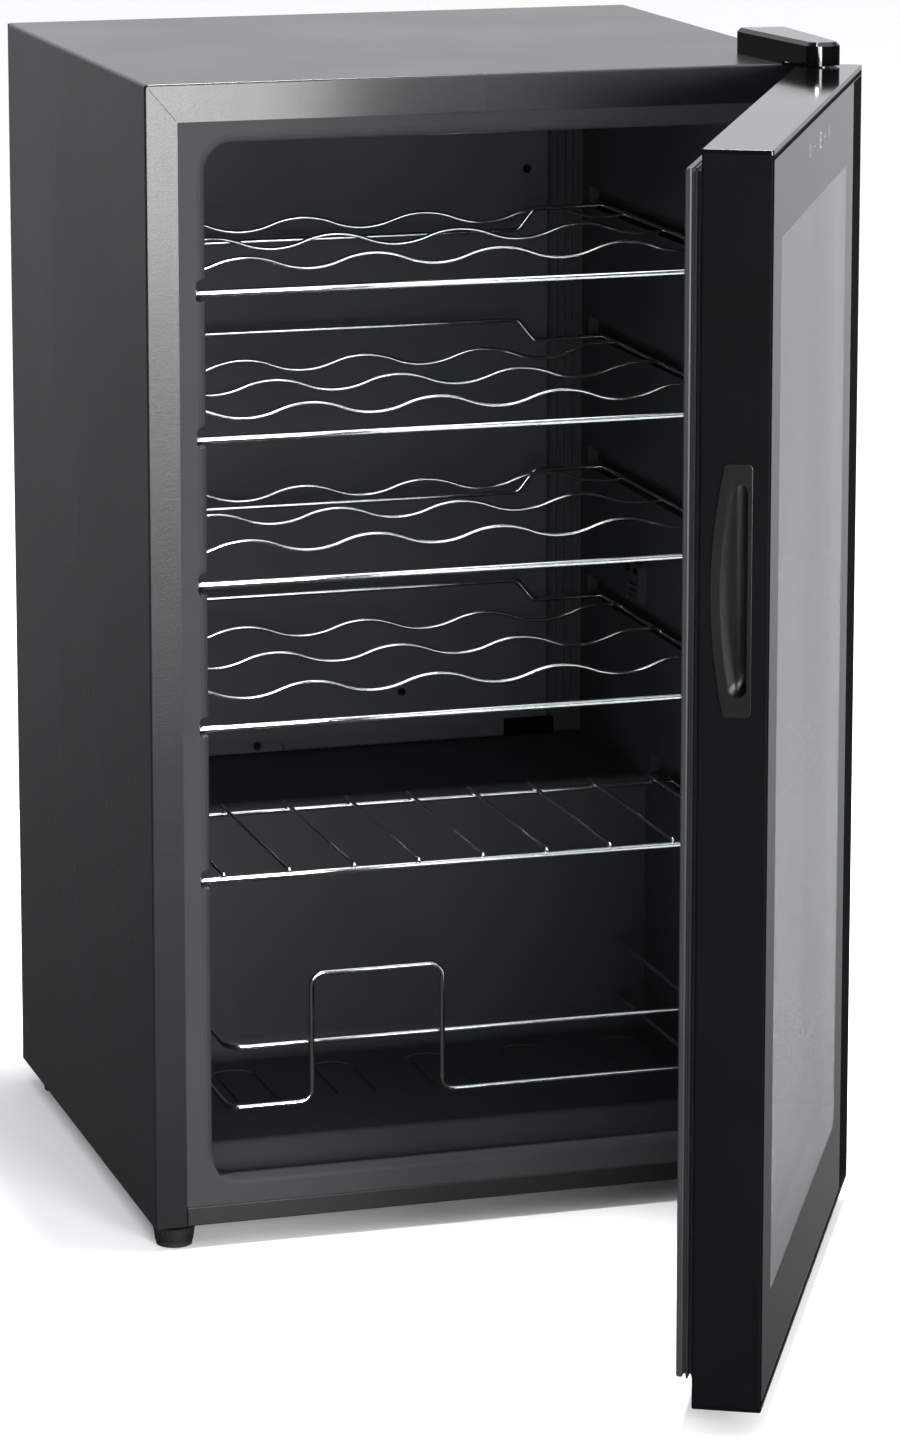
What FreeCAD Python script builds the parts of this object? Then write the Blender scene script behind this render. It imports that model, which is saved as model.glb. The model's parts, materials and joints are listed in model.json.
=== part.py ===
import FreeCAD, Part
import math
import os

from FreeCAD import Vector

# Free-standing wine cooler, millimetres, +Z up, front towards -Y.
# The origin is on the floor, under the middle of the cabinet's footprint.
# The door stands open at DOOR_OPEN degrees, and every wine shelf is pushed home.

# ---- cabinet -------------------------------------------------------------
WIDTH = 480.0
DEPTH = 425.0
FOOT_HEIGHT = 16.0
BODY_HEIGHT = 790.5
SHEET = 0.8                  # painted steel sheet
SIDE_X = WIDTH / 2
FRONT_Y = -DEPTH / 2
BACK_Y = DEPTH / 2
BODY_Z0 = FOOT_HEIGHT
BODY_Z1 = FOOT_HEIGHT + BODY_HEIGHT
STRIP_SIDE = 22.3            # face width of the wrap's front return flanges
STRIP_TOP = 26.0
RAIL_HEIGHT = 13.5

# ---- inside --------------------------------------------------------------
LINER = 2.2                  # vacuum-formed liner wall
WALL_X = 198.0               # half width between the side pads
CHANNEL_X = 206.0            # half width inside the shelf channels
LINER_BACK_Y = 187.5
CEILING_Z = 765.5
RIM_Z = 50.0
FLOOR_Z = 58.5
GUTTER_Z = 42.5
HUMP_Y = 31.5                # front face of the hump over the compressor bay
HUMP_Z = 248.5
MOUTH_RADIUS = 20.0
FLANGE_Y = FRONT_Y + 0.6
BAY_Y = 71.5                 # compressor bay, behind and below the hump
BAY_Z = 210.5
COVER_Y = 177.5
COVER_X = 168.5

# ---- shelves -------------------------------------------------------------
WINE_SHELF_Z = [662.5, 562.5, 462.5, 362.5]
FLAT_SHELF_Z = 256.0
SHELF_FRONT_Y = -195.5
SHELF_REAR_Y = 145.5
FLAT_REAR_Y = -20.0
WAVE_Y = [-86.0, 12.0, 101.5]
WAVE_PITCH = 93.0
WAVE_HEIGHT = 9.0            # crest to trough
WAVE_MIDDLE = 2.0            # above the frame's own level
REAR_DROP = 16.0             # the rear wire's joggle
SHELF_ROD = 4.0
FRONT_ROD = 5.0
WAVE_ROD = 3.0
ROD_X = 201.5
CHANNEL_FLOOR = [4.3, 2.6, 4.3, 2.6, 2.6]    # below each shelf's own level, top shelf first
CHANNEL_ABOVE = 12.0
CHANNEL_REAR = [170.0, 170.0, 170.0, 170.0, 20.0]

# ---- door ----------------------------------------------------------------
DOOR_OPEN = 62.5
HINGE_X = 227.5
HINGE_Y = -242.6
DOOR_INNER_Y = FRONT_Y - 12.0
DOOR_THICK = 43.5
DOOR_OUTER_Y = DOOR_INNER_Y - DOOR_THICK
DOOR_Z0 = 17.5
DOOR_Z1 = 807.5
CAP = 3.0
DOOR_WALL = 2.5
WINDOW_X = 194.0
WINDOW_Z0 = 81.5
WINDOW_Z1 = 749.0
GLASS = 4.0
SPACER = 12.0
PIN_R = 4.0
BUSH_BORE_R = 4.05
HANDLE_Z = 538.7
HANDLE_HALF = 78.3

# ---- feet ----------------------------------------------------------------
FOOT_X = 223.0
FOOT_Y = -195.5
REAR_FOOT_X = 219.7
REAR_FOOT_Y = 178.0
SOLE = 3.0
STUD_R = 4.0
STUD_BORE_R = 4.05

os.makedirs("parts", exist_ok=True)


def box(x0, x1, y0, y1, z0, z1):
    return Part.makeBox(x1 - x0, y1 - y0, z1 - z0, Vector(x0, y0, z0))


def tube_z(x, y, z0, z1, r, bore=0.0):
    outer = Part.makeCylinder(r, z1 - z0, Vector(x, y, z0))
    if bore:
        return outer.cut(Part.makeCylinder(bore, z1 - z0, Vector(x, y, z0)))
    return outer


def cylinder(start, axis, r, length):
    return Part.makeCylinder(r, length, Vector(*start), Vector(*axis))


def join(shapes):
    whole = shapes[0]
    for shape in shapes[1:]:
        whole = whole.fuse(shape)
    return whole.removeSplitter()


def group(shapes):
    return Part.makeCompound(shapes)


def both_sides(shape):
    return [shape, shape.mirror(Vector(0, 0, 0), Vector(1, 0, 0))]


def rounded(points, radii):
    """A closed outline through 3-D points, each corner rounded by its own radius."""
    count = len(points)
    vectors = [Vector(*p) for p in points]
    starts = []
    edges = []
    ends = []
    for i, corner in enumerate(vectors):
        before = (vectors[i - 1] - corner).normalize()
        after = (vectors[(i + 1) % count] - corner).normalize()
        r = radii[i]
        if r == 0:
            starts.append(corner)
            ends.append(corner)
            edges.append(None)
            continue
        half = before.getAngle(after) / 2
        reach = r / math.tan(half)
        middle = (before + after).normalize()
        centre = corner + middle * (r / math.sin(half))
        starts.append(corner + before * reach)
        ends.append(corner + after * reach)
        edges.append(Part.Arc(starts[i], centre - middle * r, ends[i]).toShape())
    outline = []
    for i in range(count):
        if edges[i]:
            outline.append(edges[i])
        follow = starts[(i + 1) % count]
        if ends[i].distanceToPoint(follow) > 1e-6:
            outline.append(Part.LineSegment(ends[i], follow).toShape())
    return Part.Wire(outline)


def prism(points, radii, along):
    return Part.Face(rounded(points, radii)).extrude(Vector(*along))


def slab_y(x0, x1, z0, z1, r, y0, y1):
    """A rounded rectangle seen from the front, given depth from y0 to y1."""
    corners = [(x0, y0, z0), (x1, y0, z0), (x1, y0, z1), (x0, y0, z1)]
    return prism(corners, [r] * 4, (0, y1 - y0, 0))


def slab_z(x0, x1, y0, y1, r, z0, z1):
    """A rounded rectangle seen from above, given height from z0 to z1."""
    corners = [(x0, y0, z0), (x1, y0, z0), (x1, y1, z0), (x0, y1, z0)]
    return prism(corners, [r] * 4, (0, 0, z1 - z0))


def slab_x(y0, y1, z0, z1, r, x0, x1):
    """A rounded rectangle seen from the side, given width from x0 to x1."""
    corners = [(x0, y0, z0), (x0, y1, z0), (x0, y1, z1), (x0, y0, z1)]
    return prism(corners, [r] * 4, (x1 - x0, 0, 0))


def wire_path(points, bend):
    """Straight runs joined by tangent arcs of radius bend."""
    vectors = [Vector(*p) for p in points]
    edges = []
    at = vectors[0]
    for i in range(1, len(vectors) - 1):
        corner = vectors[i]
        before = (vectors[i - 1] - corner).normalize()
        after = (vectors[i + 1] - corner).normalize()
        half = before.getAngle(after) / 2
        reach = bend / math.tan(half)
        middle = (before + after).normalize()
        centre = corner + middle * (bend / math.sin(half))
        start = corner + before * reach
        end = corner + after * reach
        if at.distanceToPoint(start) > 1e-6:
            edges.append(Part.LineSegment(at, start).toShape())
        edges.append(Part.Arc(start, centre - middle * bend, end).toShape())
        at = end
    edges.append(Part.LineSegment(at, vectors[-1]).toShape())
    return Part.Wire(edges)


def swept_rod(path, diameter):
    start = path.Edges[0].firstVertex().Point
    tangent = path.Edges[0].tangentAt(path.Edges[0].FirstParameter)
    section = Part.Wire(Part.makeCircle(diameter / 2, start, tangent))
    return path.makePipeShell([section], True, False)


def bent_rod(points, diameter, bend):
    return swept_rod(wire_path(points, bend), diameter)


def straight_rod(start, end, diameter):
    run = Vector(*end) - Vector(*start)
    return Part.makeCylinder(diameter / 2, run.Length, Vector(*start), run)


def screw(x, y, z, axis, head_r=3.5, head=2.0, shank_r=2.0, shank=8.0, slot=True):
    """A pan-head screw whose head sits on (x, y, z) and whose shank goes back along -axis."""
    out = Vector(*axis).normalize()
    seat = Vector(x, y, z)
    top = Part.makeCylinder(head_r, head, seat, out)
    rod = Part.makeCylinder(shank_r, shank, seat - out * shank, out)
    body = top.fuse(rod)
    if slot:
        recess = Part.makeCylinder(head_r * 0.45, head * 0.5, seat + out * (head * 0.5), out)
        body = body.cut(recess)
    return body


nodes = {}

# ---- liner: the cavity's shape, then the thin wall around it ---------------


def cavity(grow):
    front = FRONT_Y - 5
    profile = [
        (0, front, RIM_Z - grow),
        (0, -205 - grow * 0.4, RIM_Z - grow),
        (0, -199 - grow * 0.4, GUTTER_Z - grow),
        (0, -180 + grow * 0.4, GUTTER_Z - grow),
        (0, -163 + grow * 0.4, FLOOR_Z - grow),
        (0, HUMP_Y + grow, FLOOR_Z - grow),
        (0, HUMP_Y + grow, HUMP_Z - grow),
        (0, LINER_BACK_Y + grow, HUMP_Z - grow),
        (0, LINER_BACK_Y + grow, CEILING_Z + grow),
        (0, front, CEILING_Z + grow),
    ]
    radii = [0, 4, 3, 6, 8, 14 + grow, 9, 1, 12 + grow, 0]
    half = WALL_X + grow
    start = [(-half, y, z) for _, y, z in profile]
    swept = prism(start, radii, (2 * half, 0, 0))
    lowest = GUTTER_Z - grow
    barrel = slab_y(-half, half, lowest, CEILING_Z + grow, MOUTH_RADIUS + grow, front, BACK_Y)
    return swept.common(barrel)


def channel_blocks(grow):
    """The grooves that the shelves' side rods slide in, open at the front, one block per shelf."""
    blocks = []
    half = CHANNEL_X + grow
    front = FRONT_Y - 1
    for z, floor, rear in zip(WINE_SHELF_Z + [FLAT_SHELF_Z], CHANNEL_FLOOR, CHANNEL_REAR):
        low = z - floor - grow
        high = z + CHANNEL_ABOVE + grow
        blocks.append(slab_y(-half, half, low, high, 4.0, front, rear + grow))
    return blocks


def mouth_block():
    """Extra depth of plastic around the mouth, for its rolled edge."""
    lip = 9.0
    half = WALL_X + lip
    return slab_y(-half, half, RIM_Z - lip, CEILING_Z + lip, MOUTH_RADIUS + lip, FLANGE_Y, FLANGE_Y + lip)


def rolled_mouth():
    """The space that opens out in front of the cavity, as a quarter round."""
    roll = 7.0
    rings = []
    for step in range(5):
        angle = math.radians(22.5 * step)
        out = roll * (1 - math.sin(angle))
        y = FLANGE_Y - 0.01 + roll * (1 - math.cos(angle))
        corners = [
            (-WALL_X - out, y, RIM_Z - out),
            (WALL_X + out, y, RIM_Z - out),
            (WALL_X + out, y, CEILING_Z + out),
            (-WALL_X - out, y, CEILING_Z + out),
        ]
        rings.append(rounded(corners, [MOUTH_RADIUS + out] * 4))
    return Part.makeLoft(rings, True, True)


flange_top = BODY_Z1 - STRIP_TOP
flange_x = SIDE_X - STRIP_SIDE - 0.15
flange_low = BODY_Z0 + RAIL_HEIGHT + 0.15
flange = box(-flange_x, flange_x, FLANGE_Y, FLANGE_Y + LINER, flange_low, flange_top - 0.15)
liner_outer = join([cavity(LINER), flange, mouth_block()] + channel_blocks(LINER))
liner_outer = liner_outer.common(box(-300, 300, FLANGE_Y, 300, 0, 900))
hollow = join([cavity(0)] + channel_blocks(0))
inner_liner = liner_outer.cut(hollow).cut(rolled_mouth())

wall_ribs = []
RIB = 2.0
for x in (178.0, 184.0, 190.0):
    rib = box(x, x + RIB, LINER_BACK_Y - RIB, LINER_BACK_Y + 0.5, HUMP_Z + 12, CEILING_Z - 14)
    wall_ribs += both_sides(rib)
inner_liner = join([inner_liner] + wall_ribs)

# Five shallow arch-shaped grooves in the floor, one for each bottle's shoulder.
ARCH_PITCH = 73.5
ARCH_FIRST_X = -133.0
ARCH_FRONT = -78.0
ARCH_BACK = 0.0
ARCH_HALF = 16.5
ARCH_WIDE = 4.5
arch_low = FLOOR_Z - 1.3
arch_high = FLOOR_Z + 1.0
for i in range(5):
    x = ARCH_FIRST_X + ARCH_PITCH * i
    inside = ARCH_HALF - ARCH_WIDE
    lane = slab_z(x - ARCH_HALF, x + ARCH_HALF, ARCH_FRONT - 20, ARCH_BACK, 15.0, arch_low, arch_high)
    core = slab_z(x - inside, x + inside, ARCH_FRONT - 21, ARCH_BACK - ARCH_WIDE, 11.5, arch_low, arch_high)
    kept = box(x - 20, x + 20, ARCH_FRONT, ARCH_BACK, arch_low, arch_high)
    inner_liner = inner_liner.cut(lane.cut(core).common(kept))

# ---- steel outer wrap ------------------------------------------------------


def rounded_shell(inset):
    """Side and top walls as one block, its bent edges rounded."""
    r = max(2.5 - inset, 0.6)
    x = SIDE_X - inset
    z = BODY_Z1 - inset
    corners = [(-x, FRONT_Y + inset, BODY_Z0 - inset), (x, FRONT_Y + inset, BODY_Z0 - inset),
               (x, FRONT_Y + inset, z), (-x, FRONT_Y + inset, z)]
    block = prism(corners, [0, 0, r, r], (0, DEPTH - 2 * inset - SHEET, 0))
    bends = []
    for edge in block.Edges:
        span = edge.BoundBox
        in_front = abs(span.YMax - FRONT_Y - inset) < 1e-6
        if in_front and span.ZMax > BODY_Z0 + 1:
            bends.append(edge)
    return block.makeFillet(max(1.6 - inset, 0.4), bends)


wrap = rounded_shell(0).cut(rounded_shell(SHEET))
opening_x = SIDE_X - STRIP_SIDE
REAR_FLANGE = 15.0
LIP_DEPTH = 9.0
wrap = wrap.cut(box(-opening_x, opening_x, FRONT_Y - 1, FRONT_Y + 5, 0, flange_top))
rear_x = SIDE_X - REAR_FLANGE
wrap = wrap.cut(box(-rear_x, rear_x, BACK_Y - 5, BACK_Y + 1, 0, BODY_Z1 - REAR_FLANGE))
wrap = wrap.cut(box(-SIDE_X + SHEET, SIDE_X - SHEET, FRONT_Y - 1, BACK_Y + 1, 0, BODY_Z0 + 0.01))
lip_y = FRONT_Y + LIP_DEPTH
lips = both_sides(box(opening_x, opening_x + SHEET, FRONT_Y, lip_y, BODY_Z0, flange_top + SHEET))
lips.append(box(-opening_x, opening_x, FRONT_Y, lip_y, flange_top, flange_top + SHEET))
wrap = join([wrap] + lips)

# A hairline joint runs across each top corner, where the side strip meets the top strip.
mitre_angle = math.degrees(math.atan2(STRIP_TOP, STRIP_SIDE))
for side in (-1, 1):
    slit = box(-30, 30, FRONT_Y - 1, FRONT_Y + 3, -0.2, 0.2)
    slit.rotate(Vector(0, 0, 0), Vector(0, 1, 0), -mitre_angle * side)
    slit.translate(Vector(side * (SIDE_X - STRIP_SIDE / 2), 0, BODY_Z1 - STRIP_TOP / 2))
    x0, x1 = sorted((side * (opening_x + 1.2), side * (SIDE_X - 2.6)))
    reach = box(x0, x1, FRONT_Y - 1, FRONT_Y + 1.0, flange_top + 1.2, BODY_Z1 - 2.6)
    wrap = wrap.cut(slit.common(reach))
nodes["outer_wrap"] = wrap

# ---- steel rails, sheets and panels of the body ------------------------------

rail_x = opening_x - SHEET
rail_y = FRONT_Y + 0.2
RAIL_SHEET = 1.2
RAIL_DEEP = 23.8
NUT_R = 9.0
rail = box(-rail_x, rail_x, rail_y, rail_y + RAIL_DEEP, BODY_Z0, BODY_Z0 + RAIL_HEIGHT)
rail = rail.cut(box(-230, 230, rail_y + RAIL_SHEET, rail_y + 30,
                    BODY_Z0 + RAIL_SHEET, BODY_Z0 + RAIL_HEIGHT - RAIL_SHEET))
rail_bend = [e for e in rail.Edges if abs(e.BoundBox.YMax - rail_y) < 1e-6 and e.BoundBox.XLength > 100]
rail = rail.makeFillet(1.0, rail_bend)
inside_x = SIDE_X - SHEET
stud_holes = []
for side in (-1, 1):
    stud_holes.append(tube_z(side * FOOT_X, FOOT_Y, 0, 60, 4.6))
    rail = rail.cut(tube_z(side * FOOT_X, FOOT_Y, 0, 60, NUT_R + 0.3))
nodes["front_base_rail"] = rail
base_front = FRONT_Y + 24.2
base = join([
    box(-inside_x, inside_x, base_front, BAY_Y, BODY_Z0, BODY_Z0 + SHEET),
    box(-inside_x, inside_x, BAY_Y - SHEET, BAY_Y, BODY_Z0, BAY_Z),
    box(-inside_x, inside_x, BAY_Y - SHEET, BACK_Y - 1.8, BAY_Z, BAY_Z + SHEET),
])
corner_plates = []
for side in (-1, 1):
    x0, x1 = sorted((side * (opening_x + SHEET), side * inside_x))
    corner_plates.append(box(x0, x1, FRONT_Y + 1.8, base_front, BODY_Z0, BODY_Z0 + SHEET))
base = join([base] + corner_plates)
for hole in stud_holes:
    base = base.cut(hole)
nodes["stepped_base_sheet"] = base

plate_y0 = BAY_Y + 0.5
plate_y1 = BACK_Y - 1.7
PLATE = 1.5
compressor_plate = join([
    box(-inside_x + 0.3, inside_x - 0.3, plate_y0, plate_y1, BODY_Z0, BODY_Z0 + PLATE),
    box(-inside_x + 0.3, inside_x - 0.3, plate_y1 - PLATE, plate_y1, BODY_Z0, BODY_Z0 + 12),
])
nodes["rear_panel"] = box(-SIDE_X, SIDE_X, BACK_Y - SHEET, BACK_Y, BAY_Z, BODY_Z1 - 0.5)

# ---- refrigeration parts in the bay ------------------------------------------
COMP_X = -40.0
COMP_Y = 142.0
COMP_Z = 30.0
COMP_A = 62.0                # half width of the housing
COMP_HEIGHT = 148.0


def egg(inset):
    """The domed pressure housing: a round-cornered drum, a little wider than deep."""
    r = COMP_A - inset
    dome = 34.0 - inset
    z0 = COMP_Z + inset
    z1 = COMP_Z + COMP_HEIGHT - inset
    drum = Part.makeCylinder(r, z1 - z0, Vector(COMP_X, COMP_Y, z0))
    return drum.makeFillet(dome, [e for e in drum.Edges if e.Curve.TypeId == "Part::GeomCircle"])


housing = egg(0).cut(egg(3.0))
seam = Part.makeCylinder(COMP_A + 3, 3, Vector(COMP_X, COMP_Y, 102))
seam = seam.cut(Part.makeCylinder(COMP_A - 1, 3, Vector(COMP_X, COMP_Y, 102)))
MOUNT_DX = 72.0
MOUNT_DY = 48.0
legs = slab_z(COMP_X - 84, COMP_X + 84, COMP_Y - 60, COMP_Y + 60, 12, 28.5, 31.5)
legs = legs.cut(Part.makeCylinder(26, 10, Vector(COMP_X, COMP_Y, 25)))
mount_points = []
for sx in (-1, 1):
    for sy in (-1, 1):
        mount_points.append((COMP_X + sx * MOUNT_DX, COMP_Y + sy * MOUNT_DY))
for x, y in mount_points:
    legs = legs.cut(tube_z(x, y, 25, 35, 6.0))
housing = join([housing, seam, legs])
nodes["compressor_housing"] = housing
nodes["compressor_motor"] = join([
    tube_z(COMP_X, COMP_Y, 52, 112, 46),
    tube_z(COMP_X, COMP_Y, 112, 150, 24),
    box(COMP_X - 22, COMP_X + 40, COMP_Y - 16, COMP_Y + 16, 112, 140),
])
grommets = []
bolts = []
for x, y in mount_points:
    sleeve = join([
        tube_z(x, y, BODY_Z0 + PLATE, 28.5, 10.0),
        tube_z(x, y, 28.5, 31.5, 5.95),
        tube_z(x, y, 31.5, 34.5, 9.0),
    ])
    grommets.append(sleeve.cut(tube_z(x, y, 10, 40, 3.5)))
    compressor_plate = compressor_plate.cut(tube_z(x, y, 10, 20, 3.5))
    bolt = join([tube_z(x, y, BODY_Z0, 36.0, 3.45), tube_z(x, y, 34.5, 38.5, 6.5)])
    bolts.append(bolt)
nodes["compressor_grommets"] = group(grommets)
nodes["compressor_bolts"] = group(bolts)
relay = slab_y(COMP_X + 63.5, COMP_X + 90, 70, 125, 6, COMP_Y - 25, COMP_Y + 25)
relay_inside = box(COMP_X + 60, COMP_X + 87.5, COMP_Y - 22.5, COMP_Y + 22.5, 72.5, 122.5)
nodes["compressor_relay_cover"] = relay.cut(relay_inside)
TRAY_Z = COMP_Z + COMP_HEIGHT
tray = slab_z(COMP_X - 55, COMP_X + 55, COMP_Y - 50, COMP_Y + 50, 14, TRAY_Z, TRAY_Z + 22)
tray = tray.cut(slab_z(COMP_X - 53, COMP_X + 53, COMP_Y - 48, COMP_Y + 48, 12, TRAY_Z + 2, TRAY_Z + 30))
nodes["drip_tray"] = tray
nodes["filter_drier"] = join([
    tube_z(96, 120, 60, 130, 9.0),
    Part.makeCone(9.0, 3.2, 10, Vector(96, 120, 130)),
    Part.makeCone(3.2, 9.0, 10, Vector(96, 120, 50)),
])
pipe_top = BAY_Z
discharge_path = [
    (COMP_X - COMP_A + 4, COMP_Y - 10, 84),
    (COMP_X - 84, COMP_Y - 10, 84),
    (COMP_X - 100, COMP_Y + 12, 84),
    (COMP_X - 100, COMP_Y + 12, pipe_top),
]
suction_path = [
    (COMP_X - COMP_A + 4, COMP_Y + 14, 62),
    (COMP_X - 84, COMP_Y + 14, 62),
    (COMP_X - 120, COMP_Y + 36, 62),
    (COMP_X - 120, COMP_Y + 36, pipe_top),
]
return_path = [(96, 120, 140), (96, 120, 170), (96, 96, 186), (96, 96, pipe_top)]
capillary_path = [(96, 120, 50), (96, 120, 36), (116, 120, 36), (116, 120, pipe_top)]
nodes["discharge_pipe"] = bent_rod(discharge_path, 6.0, 12.0).cut(egg(0))
nodes["suction_pipe"] = bent_rod(suction_path, 8.0, 12.0).cut(egg(0))
nodes["condenser_return_pipe"] = bent_rod(return_path, 5.0, 8.0)
nodes["capillary_tube"] = bent_rod(capillary_path, 2.4, 8.0)
power_box = slab_y(140, 222, BODY_Z0 + PLATE, 92, 5, 120, 190)
power_box = power_box.cut(box(142.5, 219.5, 122.5, 187.5, BODY_Z0 + PLATE + 2.5, 89.5))
power_box = power_box.cut(cylinder((181, 180, 60), (0, 1, 0), 6.55, 20))
nodes["control_box"] = power_box
nodes["control_board"] = box(146, 216, 126, 184, 30, 31.6)
gland = join([cylinder((181, 186, 60), (0, 1, 0), 6.5, 5), cylinder((181, 190, 60), (0, 1, 0), 9.0, 8)])
nodes["mains_cord_gland"] = gland.cut(cylinder((181, 180, 60), (0, 1, 0), 4.0, 30))

# ---- cold side ---------------------------------------------------------------
cover_top = CEILING_Z - 16
cover = box(-COVER_X, COVER_X, COVER_Y, LINER_BACK_Y, HUMP_Z + 1.0, cover_top)
cover_front = [e for e in cover.Edges if abs(e.BoundBox.YMax - COVER_Y) < 1e-6]
cover = cover.makeFillet(2.5, cover_front)
COVER_WALL = 2.0
cover_inside = box(-COVER_X + COVER_WALL, COVER_X - COVER_WALL, COVER_Y + COVER_WALL, LINER_BACK_Y + 1,
                   HUMP_Z + 1 + COVER_WALL, cover_top - COVER_WALL)
cover = cover.cut(cover_inside)
SCREW_POCKET_X = -62.0
POCKET_DEEP = 3.5
pocket_back = COVER_Y + POCKET_DEEP
pocket = slab_y(SCREW_POCKET_X - 20, SCREW_POCKET_X + 20, HUMP_Z - 8, HUMP_Z + 10.5, 6,
                COVER_Y - 1, pocket_back)
cover = cover.cut(pocket)
boss = slab_y(SCREW_POCKET_X - 22, SCREW_POCKET_X + 22, HUMP_Z + 1, HUMP_Z + 12.5, 5,
              pocket_back, pocket_back + COVER_WALL)
cover = join([cover, boss])
DRAIN_X = 154.0
cover = cover.cut(box(DRAIN_X - 21, DRAIN_X + 20, COVER_Y - 1, LINER_BACK_Y, HUMP_Z, HUMP_Z + 15))
screw_spots = [(150.5, 688.0), (-150.5, 688.0), (51.0, 290.0)]
for x, z in screw_spots:
    cover = cover.cut(cylinder((x, COVER_Y - 1, z), (0, 1, 0), 2.1, 6))
cover = cover.cut(cylinder((SCREW_POCKET_X, COVER_Y, HUMP_Z + 6.2), (0, 1, 0), 2.1, 8))
nodes["evaporator_cover"] = cover
cover_screws = [screw(x, COVER_Y, z, (0, -1, 0), 3.2, 1.0, 2.0, 4.5) for x, z in screw_spots]
cover_screws.append(screw(SCREW_POCKET_X, COVER_Y + 3.5, HUMP_Z + 6.2, (0, -1, 0), 3.2, 1.0, 2.0, 4.0))
evaporator = box(-150, 150, 183.0, 185.0, HUMP_Z + 30, cover_top - 20)
ridges = []
for row in range(9):
    z = HUMP_Z + 55 + row * 46
    ridge = straight_rod((-135, 183.6, z), (135, 183.6, z), 3.4)
    ridges.append(ridge.common(box(-200, 200, 182, 184.9, 0, 900)))
nodes["evaporator_plate"] = join([evaporator] + ridges)
spout = slab_y(DRAIN_X - 20.5, DRAIN_X + 19.5, HUMP_Z + 1.0, HUMP_Z + 14, 2, COVER_Y + 1.0, LINER_BACK_Y)
spout = spout.cut(box(DRAIN_X - 12, DRAIN_X + 19, COVER_Y - 1, COVER_Y + 5, HUMP_Z + 8, HUMP_Z + 16))
nodes["drain_spout"] = spout
drain_tube = tube_z(COMP_X + 30, COMP_Y, TRAY_Z + 8, 245.0, 6.0, 4.5)
nodes["drain_tube"] = drain_tube
nodes["interior_lamp_lens"] = slab_z(-34, 34, -166, -142, 6, CEILING_Z - 5, CEILING_Z)
sensor = slab_x(33, 63, 378, 408, 4, WALL_X - 6, WALL_X)
for z in (381.8, 386.5, 391.2):
    sensor = sensor.cut(box(WALL_X - 7, WALL_X - 4.5, 39, 57, z, z + 2.0))
for y in (40, 56):
    cover_screws.append(screw(WALL_X - 6, y, 402, (-1, 0, 0), 2.6, 1.2, 1.5, 5.5))
    sensor = sensor.cut(cylinder((WALL_X - 7, y, 402), (1, 0, 0), 1.55, 8))
nodes["temperature_sensor_cover"] = sensor.cut(box(WALL_X - 3.5, WALL_X + 1, 36, 60, 381, 396))
nodes["interior_screws"] = group(cover_screws)

# ---- wine shelves: straight and waved rods welded to two side rods -----------


def wave_rod(y, level):
    """Four crests between flat ends, as equal tangent arcs."""
    half = WAVE_PITCH / 2
    turn = 2 * math.atan2(WAVE_HEIGHT, half)
    r = half / 2 / math.sin(turn)
    low = level + WAVE_MIDDLE - WAVE_HEIGHT / 2
    inner = ROD_X - SHELF_ROD / 2
    edges = [Part.LineSegment(Vector(-inner, y, low), Vector(-4 * half, y, low)).toShape()]
    for i in range(8):
        x0 = -4 * half + i * half
        x1 = x0 + half
        middle = Vector((x0 + x1) / 2, y, low + WAVE_HEIGHT / 2)
        quarter = r * math.sin(turn / 2)
        rise = r * (1 - math.cos(turn / 2))
        if i % 2 == 0:
            start, end = Vector(x0, y, low), Vector(x1, y, low + WAVE_HEIGHT)
            first = Vector(x0 + quarter, y, low + rise)
            second = Vector(x1 - quarter, y, low + WAVE_HEIGHT - rise)
        else:
            start, end = Vector(x0, y, low + WAVE_HEIGHT), Vector(x1, y, low)
            first = Vector(x0 + quarter, y, low + WAVE_HEIGHT - rise)
            second = Vector(x1 - quarter, y, low + rise)
        edges.append(Part.Arc(start, first, middle).toShape())
        edges.append(Part.Arc(middle, second, end).toShape())
    edges.append(Part.LineSegment(Vector(4 * half, y, low), Vector(inner, y, low)).toShape())
    return swept_rod(Part.Wire(edges), WAVE_ROD)


def side_rod(rear, level):
    front = SHELF_FRONT_Y + FRONT_ROD / 2
    return straight_rod((ROD_X, front, level), (ROD_X, rear, level), SHELF_ROD)


def wine_shelf(level, flipped):
    rods = [straight_rod((-ROD_X, SHELF_FRONT_Y, level), (ROD_X, SHELF_FRONT_Y, level), FRONT_ROD)]
    inner = ROD_X - SHELF_ROD / 2
    dropped = level - REAR_DROP
    rear_path = [
        (-inner, SHELF_REAR_Y, level),
        (-146, SHELF_REAR_Y, level),
        (-133, SHELF_REAR_Y, dropped),
        (133, SHELF_REAR_Y, dropped),
        (146, SHELF_REAR_Y, level),
        (inner, SHELF_REAR_Y, level),
    ]
    rods.append(bent_rod(rear_path, SHELF_ROD, 7.0))
    for y in WAVE_Y:
        rods.append(wave_rod(y, level))
    rods += both_sides(side_rod(SHELF_REAR_Y + 8, level))
    shelf = group(rods)
    if flipped:
        shelf.rotate(Vector(0, 0, level), Vector(0, 1, 0), 180)
    return shelf


for number, level in enumerate(WINE_SHELF_Z, 1):
    nodes["wine_shelf_%d" % number] = wine_shelf(level, number % 2 == 0)

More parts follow.
